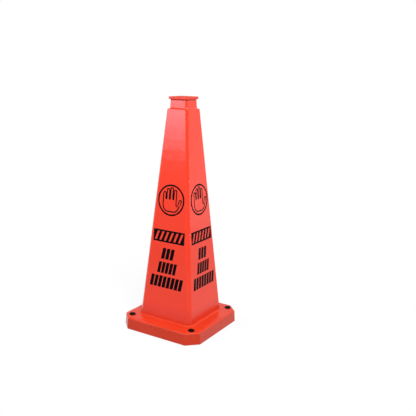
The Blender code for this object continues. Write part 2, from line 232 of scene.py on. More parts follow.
class NodeGroup(Tree):
    """A node tree with named inputs and outputs."""

    def __init__(self, name: str, kind: str, inputs: dict[str, str], outputs: dict[str, str]) -> None:
        """Makes the tree and its sockets.

        Args:
            name: the tree's name.
            kind: GeometryNodeTree or ShaderNodeTree.
            inputs: its inputs, as name and the last part of their socket type.
            outputs: its outputs, in the same way.
        """
        super().__init__(bpy.data.node_groups.new(name, kind))
        for direction, sockets in (("INPUT", inputs), ("OUTPUT", outputs)):
            for label, socket in sockets.items():
                self.tree.interface.new_socket(label, in_out=direction, socket_type=f"NodeSocket{socket}")
        self.labels = tuple(inputs)
        self.start = self.node("NodeGroupInput")
        self.end = self.node("NodeGroupOutput")

    def __getitem__(self, label: str) -> Wire:
        """What comes in under a name."""
        return Wire(self, self.start.outputs[label])

    def __setitem__(self, label: str, value: Any) -> None:
        """Sends a wire or a value out under a name."""
        self.fill(self.end, {label: value})


class GeometryTree(NodeGroup):
    """A geometry node tree with a geometry going in and one coming out."""

    def __init__(self, name: str, inputs: dict[str, str]) -> None:
        """Makes the tree, with these inputs beside the geometry."""
        through = {"Geometry": "Geometry"}
        super().__init__(name, "GeometryNodeTree", {**through, **inputs}, through)

    def place(self, other: "GeometryTree", inputs: dict[str, Any]) -> Wire:
        """Places another tree as a group and gives its geometry."""
        return self.make("GeometryNodeGroup", inputs, node_tree=other.tree)

    def merged(self, geometry: Wire) -> Wire:
        """Merges points that lie in one place."""
        return self.make("GeometryNodeMergeByDistance", {"Geometry": geometry, "Distance": SAME_PLACE})

    def moved(self, geometry: Wire, place: Wire) -> Wire:
        """Sets each point of a geometry in its place."""
        return self.make("GeometryNodeSetPosition", {"Geometry": geometry, "Position": place})

    def turned(self, vector: Wire, angle: Wire) -> Wire:
        """Turns a vector about the centre line."""
        return self.make("ShaderNodeVectorRotate", {"Vector": vector, "Angle": angle}, rotation_type="Z_AXIS")

    def rows_of(self, columns: Wire) -> tuple[Wire, Wire, Wire]:
        """Makes a grid with a row of points for each incoming point.

        Args:
            columns: how many points a row has.

        Returns:
            The grid, and the row and column of each of its points.
        """
        points = {"Geometry": self["Geometry"]}
        rows = self.make("GeometryNodeAttributeDomainSize", points, output="Point Count")
        grid = self.make("GeometryNodeMeshGrid", {"Vertices X": rows, "Vertices Y": columns})
        index = self.make("GeometryNodeInputIndex")
        row = (index + 0.5) // columns
        return grid, row, index - row * columns

    def at_row(self, value: Wire, row: Wire, kind: str) -> Wire:
        """A value of the incoming points, read at the point that a row stands for."""
        inputs = {"Geometry": self["Geometry"], "Value": value, "Index": row}
        return self.make("GeometryNodeSampleIndex", inputs, output="Value", data_type=kind)

    def thickened(self, flat: Wire, direction: tuple[float, float, float], thickness: Wire) -> Wire:
        """Gives flat faces a thickness along a direction, closed on both sides.

        Args:
            flat: the flat mesh.
            direction: the way that it grows.
            thickness: how far it grows.

        Returns:
            The closed mesh.
        """
        inputs = {"Mesh": flat, "Offset": direction, "Offset Scale": thickness, "Individual": False}
        grown = self.make("GeometryNodeExtrudeMesh", inputs)
        back = self.make("GeometryNodeFlipFaces", {"Mesh": flat})
        joined = self.node("GeometryNodeJoinGeometry")
        for part in (grown, back):
            self.fill(joined, {"Geometry": part})
        return self.merged(Wire(self, joined.outputs["Geometry"]))

    def finish(self, geometry: Wire) -> None:
        """Ends the tree in smooth, realized geometry with the material that it is given.

        Args:
            geometry: what the tree has made.
        """
        for kind in ("GeometryNodeSetShadeSmooth", "GeometryNodeRealizeInstances"):
            geometry = self.make(kind, {"Geometry": geometry})
        dressed = {"Geometry": geometry, "Material": self["Finish"]}
        self["Geometry"] = self.make("GeometryNodeSetMaterial", dressed)


def linked(name: str, data: bpy.types.ID) -> Object:
    """Adds an object to the scene.

    Args:
        name: the object's name.
        data: its mesh, lamp or camera.

    Returns:
        The new object.
    """
    made = bpy.data.objects.new(name, data)
    bpy.context.scene.collection.objects.link(made)
    return made


def new_mesh(
    name: str, points: Sequence[Any], edges: Sequence[Any] = (), faces: Sequence[Any] = ()
) -> Mesh:
    """Makes a mesh.

    Args:
        name: the mesh's name.
        points: its points.
        edges: its loose edges, as pairs of points.
        faces: its faces, as runs of points.

    Returns:
        The new mesh.
    """
    mesh = bpy.data.meshes.new(name)
    mesh.from_pydata(points, edges, faces)
    return mesh


def closed_path(name: str, points: Sequence[Vector]) -> Mesh:
    """Makes a closed run of edges through flat points.

    Args:
        name: the mesh's name.
        points: the points, in order.

    Returns:
        The new mesh.
    """
    count = len(points)
    edges = [(index, (index + 1) % count) for index in range(count)]
    return new_mesh(name, [point.to_3d() for point in points], edges)


def keep_result(made: Object) -> None:
    """Replaces an object's mesh by its evaluated one and removes its modifiers.

    Args:
        made: the object.
    """
    evaluated = made.evaluated_get(bpy.context.evaluated_depsgraph_get())
    result = bpy.data.meshes.new_from_object(evaluated)
    made.modifiers.clear()
    made.data = result
    result.name = made.name


def run_tree(name: str, source: Mesh, tree: GeometryTree, values: dict[str, Any]) -> Object:
    """Runs a geometry tree on a mesh and keeps what it makes as a plain mesh.

    Args:
        name: the new piece's name.
        source: the mesh that goes into the tree.
        tree: the tree.
        values: the tree's inputs, by name.

    Returns:
        The new object, at the origin, with no modifier left.
    """
    made = linked(name, source)
    modifier = made.modifiers.new(name, "NODES")
    modifier.node_group = tree.tree
    for item in tree.tree.interface.items_tree:
        if item.in_out == "INPUT" and item.name in values:
            modifier[item.identifier] = values[item.name]
    keep_result(made)
    return made


def settle_normals(made: Object, sharp_edge: float) -> None:
    """Points a closed piece's faces outwards and weighs its normals by area, so that flats shade flat.

    Args:
        made: the piece.
        sharp_edge: the angle from which an edge stays sharp.
    """
    shape = bmesh.new()
    shape.from_mesh(made.data)
    bmesh.ops.recalc_face_normals(shape, faces=shape.faces)
    shape.to_mesh(made.data)
    shape.free()
    made.data.set_sharp_from_angle(angle=sharp_edge)
    weigh = made.modifiers.new("weigh", "WEIGHTED_NORMAL")
    weigh.keep_sharp = True
    keep_result(made)


def make_piece(
    name: str,
    source: Mesh,
    tree: GeometryTree,
    values: dict[str, Any],
    slot: Slot,
    *nodes: str,
    sharp_edge: float = SHARP_EDGE,
) -> None:
    """Makes a piece with a geometry tree and hangs it on the cone's body.

    Args:
        name: the piece's name.
        source: the mesh that goes into the tree.
        tree: the tree.
        values: the tree's inputs, by name.
        slot: the slot for its finish, which is not used.
        *nodes: the solids that it stands for.
        sharp_edge: the angle from which an edge stays sharp.
    """
    made = run_tree(name, source, tree, values)
    settle_normals(made, sharp_edge)
    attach(made, BODY)
    if nodes:
        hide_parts(*nodes)
    stands_for = ", ".join(nodes) or "the looks alone"
    LOG.info("%s: %d faces, for %s", made.name, len(made.data.polygons), stands_for)


def dress_solid(node: str, finish: Material) -> None:
    """Gives a solid of the frame its finish.

    Args:
        node: the solid's name.
        finish: its material.
    """
    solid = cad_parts[node]
    solid.data.materials.clear()
    solid.data.materials.append(finish)
    LOG.info("%s: dressed in %s", node, finish.name)


@dataclass(frozen=True)
class Section:
    """One level outline: a square with cut corners, its eight corners rounded.

    flat and corner are the distances from the centre line to a side and to a cut corner.
    """

    flat: float
    corner: float
    level: float
    edge_round: float

    @classmethod
    def cut_square(cls, width: float, corner_cut: float, level: float, edge_round: float) -> "Section":
        """The outline of a square of this width whose corners are cut by this length along each side."""
        return cls(width / 2, (width - corner_cut) / math.sqrt(2), level, edge_round)

    @classmethod
    def centre(cls, level: float) -> "Section":
        """An outline shrunk to a point on the centre line, which closes a loft."""
        return cls(0.0, 0.0, level, 0.0)

    def grown(self, by: float, level: float | None = None) -> "Section":
        """The same outline moved out all round, at another level if one is given."""
        new_level = self.level if level is None else level
        return Section(self.flat + by, self.corner + by, new_level, self.edge_round)

    def rounded(self, radius: float) -> "Section":
        """The same outline with another radius on its corners."""
        return replace(self, edge_round=radius)

    def towards(self, end: "Section", across: float, down: float) -> "Section":
        """The outline a share of the way across to another one, and a share of the way to its level."""
        sizes = zip(astuple(self), astuple(end), (across, across, down, across))
        return Section(*(start + share * (stop - start) for start, stop, share in sizes))

    def bend_to(self, end: "Section", bend: Bend, steps: int = 8) -> list["Section"]:
        """A quarter round from this outline to another one.

        Args:
            end: the outline that it ends on.
            bend: full or hollow.
            steps: how many facets it has.

        Returns:
            The outlines along it, both ends included.
        """
        along = []
        for step in range(steps + 1):
            early = math.sin(QUARTER * step / steps)
            late = 1 - math.cos(QUARTER * step / steps)
            across, down = (early, late) if bend is Bend.FULL else (late, early)
            along.append(self.towards(end, across, down))
        return along


def section_mesh(name: str, sections: Sequence[Section]) -> Mesh:
    """Makes a mesh with one point for each outline, which carries the outline's sizes as attributes.

    Args:
        name: the mesh's name.
        sections: the outlines.

    Returns:
        The new mesh.
    """
    mesh = new_mesh(name, [(section.flat, 0.0, section.level) for section in sections])
    for size in fields(Section):
        values = [getattr(section, size.name) for section in sections]
        mesh.attributes.new(size.name, "FLOAT", "POINT").data.foreach_set("value", values)
    return mesh


def loft_tree() -> GeometryTree:
    """Lofts a closed skin through the outlines that the incoming points describe.

    Returns:
        The tree.
    """
    tree = GeometryTree("cut_square_loft", {"Corner Steps": "Int", "Finish": "Material"})
    steps = tree["Corner Steps"]
    per_arc = steps + 1.0
    per_quarter = per_arc * 2.0
    around = per_quarter * 4.0
    grid, row, along = tree.rows_of(around + 1.0)
    column = along % around
    quarter = (column + 0.5) // per_quarter
    in_quarter = column - quarter * per_quarter
    second = in_quarter > per_arc - 0.5
    step = in_quarter - second * per_arc

    def size(label: str) -> Wire:
        """One of the outline's sizes, at a point's own row.

        Args:
            label: the size's name.

        Returns:
            The size.
        """
        named = {"Name": label}
        value = tree.make("GeometryNodeInputNamedAttribute", named, output="Attribute", data_type="FLOAT")
        return tree.at_row(value, row, "FLOAT")

    radius = size("edge_round")
    near = size("flat") - radius
    far = (size("corner") - radius) * math.sqrt(2) - near
    swap = second * (far - near)
    turn = (second + step / steps) * (QUARTER / 2)
    x = radius * tree.math("COSINE", turn) + (near + swap)
    y = radius * tree.math("SINE", turn) + (far - swap)
    spot = tree.turned(tree.vector(x, y, size("level")), quarter * QUARTER)
    tree.finish(tree.merged(tree.moved(grid, spot)))
    return tree


def quarter_turns_tree() -> GeometryTree:
    """Repeats the incoming geometry four times about the centre line.

    Returns:
        The tree.
    """
    tree = GeometryTree("quarter_turns", {})
    places = tree.make("GeometryNodeMeshLine", {"Count": 4, "Offset": (0.0, 0.0, 0.0)})
    euler = tree.vector(0.0, 0.0, tree.make("GeometryNodeInputIndex") * QUARTER)
    turn = tree.make("FunctionNodeEulerToRotation", {"Euler": euler})
    inputs = {"Points": places, "Instance": tree["Geometry"], "Rotation": turn}
    copies = tree.make("GeometryNodeInstanceOnPoints", inputs)
    tree["Geometry"] = tree.make("GeometryNodeRealizeInstances", {"Geometry": copies})
    return tree


def onto_faces_tree(quarter_turns: GeometryTree) -> GeometryTree:
    """Lays flat artwork, drawn with X across, Y as its level and Z as its height, on all four faces.

    Args:
        quarter_turns: the tree that repeats it about the centre line.

    Returns:
        The tree.
    """
    tree = GeometryTree("onto_faces", FACE_FIT)
    lean = tree["Lean"]
    across, level, height = tree.axes(tree.make("GeometryNodeInputPosition"))
    out = (height + tree["Lift"]) / tree.math("SQRT", lean * lean + 1.0)
    wall = tree["Wall At Floor"] - lean * level
    spot = tree.vector(across, (wall + out) * -1.0, out * lean + level)
    laid = tree.moved(tree["Geometry"], spot)
    tree["Geometry"] = tree.place(quarter_turns, {"Geometry": laid})
    return tree


def laid_on_faces(tree: GeometryTree, onto_faces: GeometryTree, artwork: Wire) -> None:
    """Ends an artwork tree by laying its geometry on the four faces."""
    fit = {label: tree[label] for label in FACE_FIT}
    tree.finish(tree.place(onto_faces, {"Geometry": artwork, **fit}))


def stroke_tree(onto_faces: GeometryTree) -> GeometryTree:
    """Draws a flat inked line along the incoming closed path.

    Args:
        onto_faces: the tree that lays it on the faces.

    Returns:
        The tree.
    """
    tree = GeometryTree("inked_line", {"Line Width": "Float", "Thickness": "Float", **PRINTED})
    path = tree.make("GeometryNodeMeshToCurve", {"Mesh": tree["Geometry"]})
    level = tree.make("GeometryNodeSetCurveNormal", {"Curve": path}, mode="Z_UP")
    size = {"Width": tree["Line Width"], "Height": tree["Thickness"]}
    nib = tree.make("GeometryNodeCurvePrimitiveQuadrilateral", size)
    line = tree.make("GeometryNodeCurveToMesh", {"Curve": level, "Profile Curve": nib})
    laid_on_faces(tree, onto_faces, line)
    return tree


def slotted_panel_tree(onto_faces: GeometryTree) -> GeometryTree:
    """Draws an inked panel with a row of slanted windows, which without rails falls into bars.

    The panel starts as a grid of unit cells, three rows high, whose middle row has the windows.

    Args:
        onto_faces: the tree that lays it on the faces.

    Returns:
        The tree.
    """
    lengths = ("Width", "Low", "High", "Rail", "Ink Share", "Slant", "Thickness")
    inputs = {"Windows": "Int", **dict.fromkeys(lengths, "Float"), **PRINTED}
    tree = GeometryTree("slotted_panel", inputs)
    width, low, high, rail, share, slant, thickness = (tree[label] for label in lengths)
    windows = tree["Windows"]
    rows, middle, nudge = 3, 1.5, 0.1
    spans = windows * 2.0 + 1.0
    size = {"Size X": spans, "Size Y": float(rows), "Vertices X": spans + 1.0, "Vertices Y": rows + 1}
    grid = tree.make("GeometryNodeMeshGrid", size)
    x, y, _ = tree.axes(tree.make("GeometryNodeInputPosition"))
    half_spans = spans * 0.5
    column = half_spans + x
    row = y + middle

    odd = tree.math("FLOOR", column) % 2.0
    loose = rail < SAME_PLACE
    bare = tree.math("MAXIMUM", tree.math("COMPARE", row, middle, 0.25), loose)
    windowed = {"Geometry": grid, "Selection": odd * bare}
    slotted = tree.make("GeometryNodeDeleteGeometry", windowed, domain="FACE")

    pair = tree.math("FLOOR", column * 0.5 + nudge)
    second = column - pair * 2.0
    along = (second * share + pair) * (width / (windows + share))
    upper = row > middle
    inset = tree.math("COMPARE", row, middle, 1.0) * rail * (upper * -2.0 + 1.0)
    height = high - low
    level = (upper * height + low) + inset
    between_ends = tree.math("COMPARE", column, half_spans, half_spans - 0.5)
    from_middle = level - (height * 0.5 + low)
    shove = from_middle * slant * tree.math("MAXIMUM", between_ends, loose)
    place = tree.vector(along + (width * -0.5 + shove), level, thickness * -0.5)
    panel = tree.thickened(tree.merged(tree.moved(slotted, place)), (0.0, 0.0, 1.0), thickness)
    laid_on_faces(tree, onto_faces, panel)
    return tree


def turned_tree(quarter_turns: GeometryTree) -> GeometryTree:
    """Turns the incoming profile points about their own axis and sets one copy in each corner.

    Args:
        quarter_turns: the tree that repeats it about the centre line.

    Returns:
        The tree.
    """
    tree = GeometryTree("turned_in_corners", {"Steps": "Int", "Place": "Vector", "Finish": "Material"})
    steps = tree["Steps"]
    grid, row, column = tree.rows_of(steps + 1.0)
    profile = tree.at_row(tree.make("GeometryNodeInputPosition"), row, "FLOAT_VECTOR")
    whole = tree.merged(tree.moved(grid, tree.turned(profile, column / steps * math.tau)))
    there = tree.make("GeometryNodeTransform", {"Geometry": whole, "Translation": tree["Place"]})
    tree.finish(tree.place(quarter_turns, {"Geometry": there}))
    return tree


def rib_tree(quarter_turns: GeometryTree) -> GeometryTree:
    """Thickens the incoming flat rib, repeats it along a side and carries that to all four sides.

    Args:
        quarter_turns: the tree that repeats it about the centre line.

    Returns:
        The tree.
    """
    tree = GeometryTree("skirt_ribs", {"Thickness": "Float", "Spacing": "Float", "Finish": "Material"})
    thickness, spacing = tree["Thickness"], tree["Spacing"]
    whole = tree.thickened(tree["Geometry"], (0.0, 1.0, 0.0), thickness)
    start = tree.vector(0.0, (spacing + thickness) * -0.5, 0.0)
    line = {"Count": 2, "Start Location": start, "Offset": tree.vector(0.0, spacing, 0.0)}
    places = tree.make("GeometryNodeMeshLine", line)
    pair = tree.make("GeometryNodeInstanceOnPoints", {"Points": places, "Instance": whole})
    tree.finish(tree.place(quarter_turns, {"Geometry": pair}))
    return tree


class ShaderGroup(NodeGroup):
    """A shader node group with named inputs and outputs, over the object's own coordinates."""

    def __init__(self, name: str, inputs: dict[str, str], outputs: dict[str, str]) -> None:
        """Makes the group and its sockets, as name and the last part of their socket type."""
        super().__init__(name, "ShaderNodeTree", inputs, outputs)
        self.place = self.make("ShaderNodeTexCoord", output="Object")

    def level(self) -> Wire:
        """A point's height above the floor."""
        return self.axes(self.place)[2]

    def noise(self, scale: Any, detail: float, roughness: float, place: Wire | None = None) -> Wire:
        """Noise over the object's own coordinates, or over a place that is given."""
        inputs = {"Vector": place or self.place, "Scale": scale, "Detail": detail, "Roughness": roughness}
        return self.make("ShaderNodeTexNoise", inputs, output="Fac")

    def ramp(self, value: Any, low: Any, high: Any, to_low: Any = 0.0, to_high: Any = 1.0) -> Wire:
        """A smooth, clamped step of a value between two limits."""
        inputs = {"Value": value, "From Min": low, "From Max": high, "To Min": to_low, "To Max": to_high}
        return self.make("ShaderNodeMapRange", inputs, interpolation_type="SMOOTHSTEP")


def moulded_skin_group() -> ShaderGroup:
    """Moulded plastic: cloudy pigment, painted shade towards the seam at its foot, an uneven gloss and a fine
    orange peel.

    Returns:
        The group.
    """
    colours = ("Pigment", "Deep Pigment", "Soil")
    heights = ("Soiled From", "Soiled Below")
    skin = ("Cloud Scale", "Gloss", "Gloss Spread", "Peel Scale", "Ripple Scale", "Ripple")
    inputs = {**dict.fromkeys(colours, "Color"), **dict.fromkeys(heights + skin, "Float")}
    group = ShaderGroup("moulded_skin", inputs, SURFACE)
    clouds = group.ramp(group.noise(group["Cloud Scale"], detail=3.0, roughness=0.55), low=0.3, high=0.7)
    # Painted shade: the colour darkens towards the seam between body and base, where shade falls, and the
    # gloss dulls there.
    seam_shade_mask = group.ramp(group.level(), group["Soiled From"], group["Soiled Below"], to_low=1.0, to_high=0.0)
    unshaded = group.mix(clouds, group["Pigment"], group["Deep Pigment"])
    group["Color"] = group.mix(seam_shade_mask, unshaded, group["Soil"])
    patches = group.noise(group["Cloud Scale"] * PATCHES_PER_CLOUD, detail=4.0, roughness=0.6)
    swing = (patches - 0.5) * group["Gloss Spread"]
    group["Roughness"] = group["Gloss"] + (seam_shade_mask * SEAM_DULLING + swing)
    peel = group.noise(group["Peel Scale"], detail=1.0, roughness=0.4)
    ripple = group.noise(group["Ripple Scale"], detail=2.0, roughness=0.5) * group["Ripple"]
    group["Height"] = peel + ripple
    return group


def scuff_group() -> ShaderGroup:
    """Handling marks: fine scratches all over, and rubbed patches towards the floor.

    Returns:
        The group.
    """
    group = ShaderGroup("handling_scuffs", {"Rubbed Below": "Float", "Scuffs": "Float"}, MASK)
    low = group.ramp(group.level(), 0.0, group["Rubbed Below"], to_low=1.0, to_high=0.0)
    stretch = {"Vector": group.place, "Rotation": SCRATCH_TURN, "Scale": SCRATCH_STRETCH}
    stretched = group.make("ShaderNodeMapping", stretch)
    scratches = group.noise(scale=1.0, detail=5.0, roughness=0.7, place=stretched)
    lines = group.ramp(scratches, low=0.64, high=0.74)
    rubs = group.ramp(group.noise(scale=38.0, detail=5.0, roughness=0.7), low=0.52, high=0.72)
    group["Mask"] = (rubs * low + lines * SCRATCH_SHARE) * group["Scuffs"]
    return group


def settled_dust_group() -> ShaderGroup:
    """Fine dust on whatever faces up, and gathered in a hollow at one level.

    Returns:
        The group.
    """
    inputs = dict.fromkeys(("Dust", "Hollow Level", "Hollow Half"), "Float")
    group = ShaderGroup("settled_dust", inputs, MASK)
    upward = group.axes(group.make("ShaderNodeNewGeometry", output="Normal"))[2]
    clouds = group.noise(scale=26.0, detail=4.0, roughness=0.6)
    drift = group.ramp(clouds, low=0.25, high=0.75, to_low=0.7)
    lying = group.ramp(upward, low=0.20, high=0.90) * drift
    off = group.math("ABSOLUTE", group.level() - group["Hollow Level"])
    half = group["Hollow Half"]
    gathered = group.ramp(off, half * FILLED_SHARE, half, to_low=1.0, to_high=0.0)
    group["Mask"] = group.math("MAXIMUM", lying * group["Dust"], gathered)
    return group


def crumb_group() -> ShaderGroup:
    """Pressed rubber crumb: grains that differ a little in shade and stand a little proud.

    Returns:
        The group.
    """
    inputs = {"Rubber": "Color", "Pale Crumb": "Color", "Crumb Scale": "Float"}
    group = ShaderGroup("rubber_crumb", inputs, SURFACE)
    cells = group.node("ShaderNodeTexVoronoi", {"Vector": group.place, "Scale": group["Crumb Scale"]})
    grain = Wire(group, cells.outputs["Color"])
    shade = group.make("ShaderNodeSeparateColor", {"Color": grain}, output="Red")
    group["Color"] = group.mix(group.ramp(shade, low=0.55, high=1.0), group["Rubber"], group["Pale Crumb"])
    group["Roughness"] = shade * CRUMB_DULLING + CRUMB_ROUGHNESS
    group["Height"] = 1.0 - Wire(group, cells.outputs["Distance"])
    return group


class Finish:
    """A finish, whose fields fill the shader groups' inputs of the same names."""

    name: str

    def place(self, tree: Tree, group: ShaderGroup) -> dict[str, Wire]:
        """Places a group in a material, with this finish's own values.

        Args:
            tree: the material's tree.
            group: the group.

        Returns:
            The group's outputs, by name.
        """
        values = {}
        for label in group.labels:
            value = getattr(self, label.lower().replace(" ", "_"))
            values[label] = (*value, 1.0) if isinstance(value, tuple) else value
        placed = tree.node("ShaderNodeGroup", values, node_tree=group.tree)
        return {output.name: Wire(tree, output) for output in placed.outputs}

    def start(self) -> tuple[Material, Tree, bpy.types.Node]:
        """Starts the material.

        Returns:
            The material, its tree and its Principled BSDF.
        """
        made = bpy.data.materials.new(self.name)
        made.use_nodes = True
        return made, Tree(made.node_tree), made.node_tree.nodes["Principled BSDF"]

    def bump(self, tree: Tree, height: Wire, depth: float) -> Wire:
        """The normal of a surface with this height, at this depth in metres."""
        return tree.make("ShaderNodeBump", {"Height": height, "Strength": 1.0, "Distance": depth})


@dataclass(frozen=True)
class MouldedPlastic(Finish):
    """A moulded plastic finish."""

    name: str
    pigment: Colour
    deep_pigment: Colour
    # Colour of the painted shade near the seam between body and base.
    soil: Colour
    worn: Colour
    gloss: float
    gloss_spread: float
    peel_scale: float
    peel_depth: float
    rubbed_below: float
    scuffs: float
    dust: float
    soiled_from: float
    soiled_below: float
    cloud_scale: float = 7.0
    ripple_scale: float = 34.0
    ripple: float = 4.0
    ior: float = 1.5
    specular: float = 0.5
    hollow_level: float = NO_HOLLOW
    hollow_half: float = 0.0042

    def material(self, skin: ShaderGroup, scuff: ShaderGroup, dust: ShaderGroup) -> Material:
        """Builds the material.

        Args:
            skin: the moulded skin group.
            scuff: the handling marks group.
            dust: the settled dust group.

        Returns:
            The new material.
        """
        made, tree, shader = self.start()
        surface = self.place(tree, skin)
        rubbed = self.place(tree, scuff)["Mask"]
        dusty = self.place(tree, dust)["Mask"]
        sockets = {
            "Base Color": tree.mix(rubbed, surface["Color"], (*self.worn, 1.0)),
            "Roughness": dusty * DUST_DULLING + (rubbed * RUB_DULLING + surface["Roughness"]),
            "Normal": self.bump(tree, surface["Height"], self.peel_depth),
            "IOR": self.ior,
            "Specular IOR Level": self.specular,
        }
        tree.fill(shader, sockets)
        return made


@dataclass(frozen=True)
class PressedRubber(Finish):
    """A finish of pressed recycled rubber."""

    name: str
    rubber: Colour
    pale_crumb: Colour
    crumb_scale: float
    crumb_depth: float

    def material(self, crumb: ShaderGroup) -> Material:
        """Builds the material.

        Args:
            crumb: the rubber crumb group.

        Returns:
            The new material.
        """
        made, tree, shader = self.start()
        surface = self.place(tree, crumb)
        sockets = {
            "Base Color": surface["Color"],
            "Roughness": surface["Roughness"],
            "Normal": self.bump(tree, surface["Height"], self.crumb_depth),
        }
        tree.fill(shader, sockets)
        return made


@dataclass(frozen=True)
class Finishes:
    """Every finish of the cone."""

    body: Material
    cap: Material
    base: Material
    ink: Material
    nylon: Material
    rubber: Material

    @classmethod
    def mixed(cls) -> "Finishes":
        """Builds the shared groups and the materials.

        Returns:
            The finishes.
        """
        body = MouldedPlastic(
            name="glossy_orange_plastic",
            pigment=(0.93, 0.037, 0.0065),
            deep_pigment=(0.90, 0.034, 0.006),
            # Painted shade: darker towards the foot, where the body meets the base.
            soil=(0.70, 0.030, 0.006),
            worn=(0.95, 0.12, 0.06),
            gloss=0.12,
            gloss_spread=0.04,
            peel_scale=420.0,
            peel_depth=0.00002,
            rubbed_below=0.16,
            scuffs=0.04,
            dust=0.15,
            soiled_from=0.057,
            soiled_below=0.125,
            ripple=30.0,
        )
        base = replace(
            body,
            name="satin_orange_plastic",
            pigment=(0.72, 0.039, 0.007),
            deep_pigment=(0.69, 0.036, 0.006),
            # Painted shade: darker on the collar, next to the seam with the body.
            soil=(0.63, 0.036, 0.0065),
            gloss=0.28,
            gloss_spread=0.08,
            rubbed_below=0.05,
            scuffs=0.03,
            dust=0.4,
            soiled_from=0.0575,
            soiled_below=0.0515,
            ripple=4.0,
            ior=1.43,
            hollow_level=0.0545,
        )
        cap = replace(
            base, name="dusty_orange_plastic", gloss=0.38, dust=0.9, hollow_level=NO_HOLLOW, **NO_SEAM_SHADE
        )
        ink = replace(
            body,
            name="screen_print_ink",
            pigment=(0.0022, 0.0019, 0.0030),
            deep_pigment=(0.0034, 0.0030, 0.0045),
            worn=(0.05, 0.012, 0.01),
            gloss=0.42,
            peel_scale=900.0,
            peel_depth=0.00001,
            rubbed_below=0.3,
            dust=0.0,
            cloud_scale=60.0,
            ripple=4.0,
            specular=0.03,
            **NO_SEAM_SHADE,
        )
        nylon = replace(
            ink,
            name="black_nylon",
            pigment=(0.0035, 0.0035, 0.0042),
            deep_pigment=(0.0055, 0.0055, 0.0062),
            worn=(0.05, 0.05, 0.05),
            gloss=0.46,
            peel_scale=1400.0,
            specular=0.02,
        )
        rubber = PressedRubber(
            name="recycled_rubber",
            rubber=(0.012, 0.012, 0.012),
            pale_crumb=(0.040, 0.038, 0.036),
            crumb_scale=420.0,
            crumb_depth=0.0003,
        )
        groups = (moulded_skin_group(), scuff_group(), settled_dust_group())
        moulded = [plastic.material(*groups) for plastic in (body, cap, base, ink, nylon)]
        return cls(*moulded, rubber.material(crumb_group()))


@dataclass(frozen=True)
class Trees:
    """The geometry trees that make the pieces."""

    loft: GeometryTree
    stroke: GeometryTree
    panel: GeometryTree
    turned: GeometryTree
    ribs: GeometryTree

    @classmethod
    def grown(cls) -> "Trees":
        """Builds every tree once.

        Returns:
            The trees.
        """
        quarter_turns = quarter_turns_tree()
        onto_faces = onto_faces_tree(quarter_turns)
        return cls(
            loft=loft_tree(),
            stroke=stroke_tree(onto_faces),
            panel=slotted_panel_tree(onto_faces),
            turned=turned_tree(quarter_turns),
            ribs=rib_tree(quarter_turns),
        )


class Lofted:
    """A moulding that is lofted through level outlines."""

    corner_steps: int

    def sections(self) -> list[Section]:
        """The outlines, in order along the moulding's skin."""
        raise NotImplementedError

    def loft(self, name: str, node: str, trees: Trees, finish: Material) -> None:
        """Lofts and dresses the moulding.

        Args:
            name: the piece's name.
            node: the solid that it stands for.
            trees: the geometry trees.
            finish: its material.
        """
        source = section_mesh(name, self.sections())
        values = {"Corner Steps": self.corner_steps, "Finish": finish}
        make_piece(name, source, trees.loft, values, Slot.ORANGE, node)


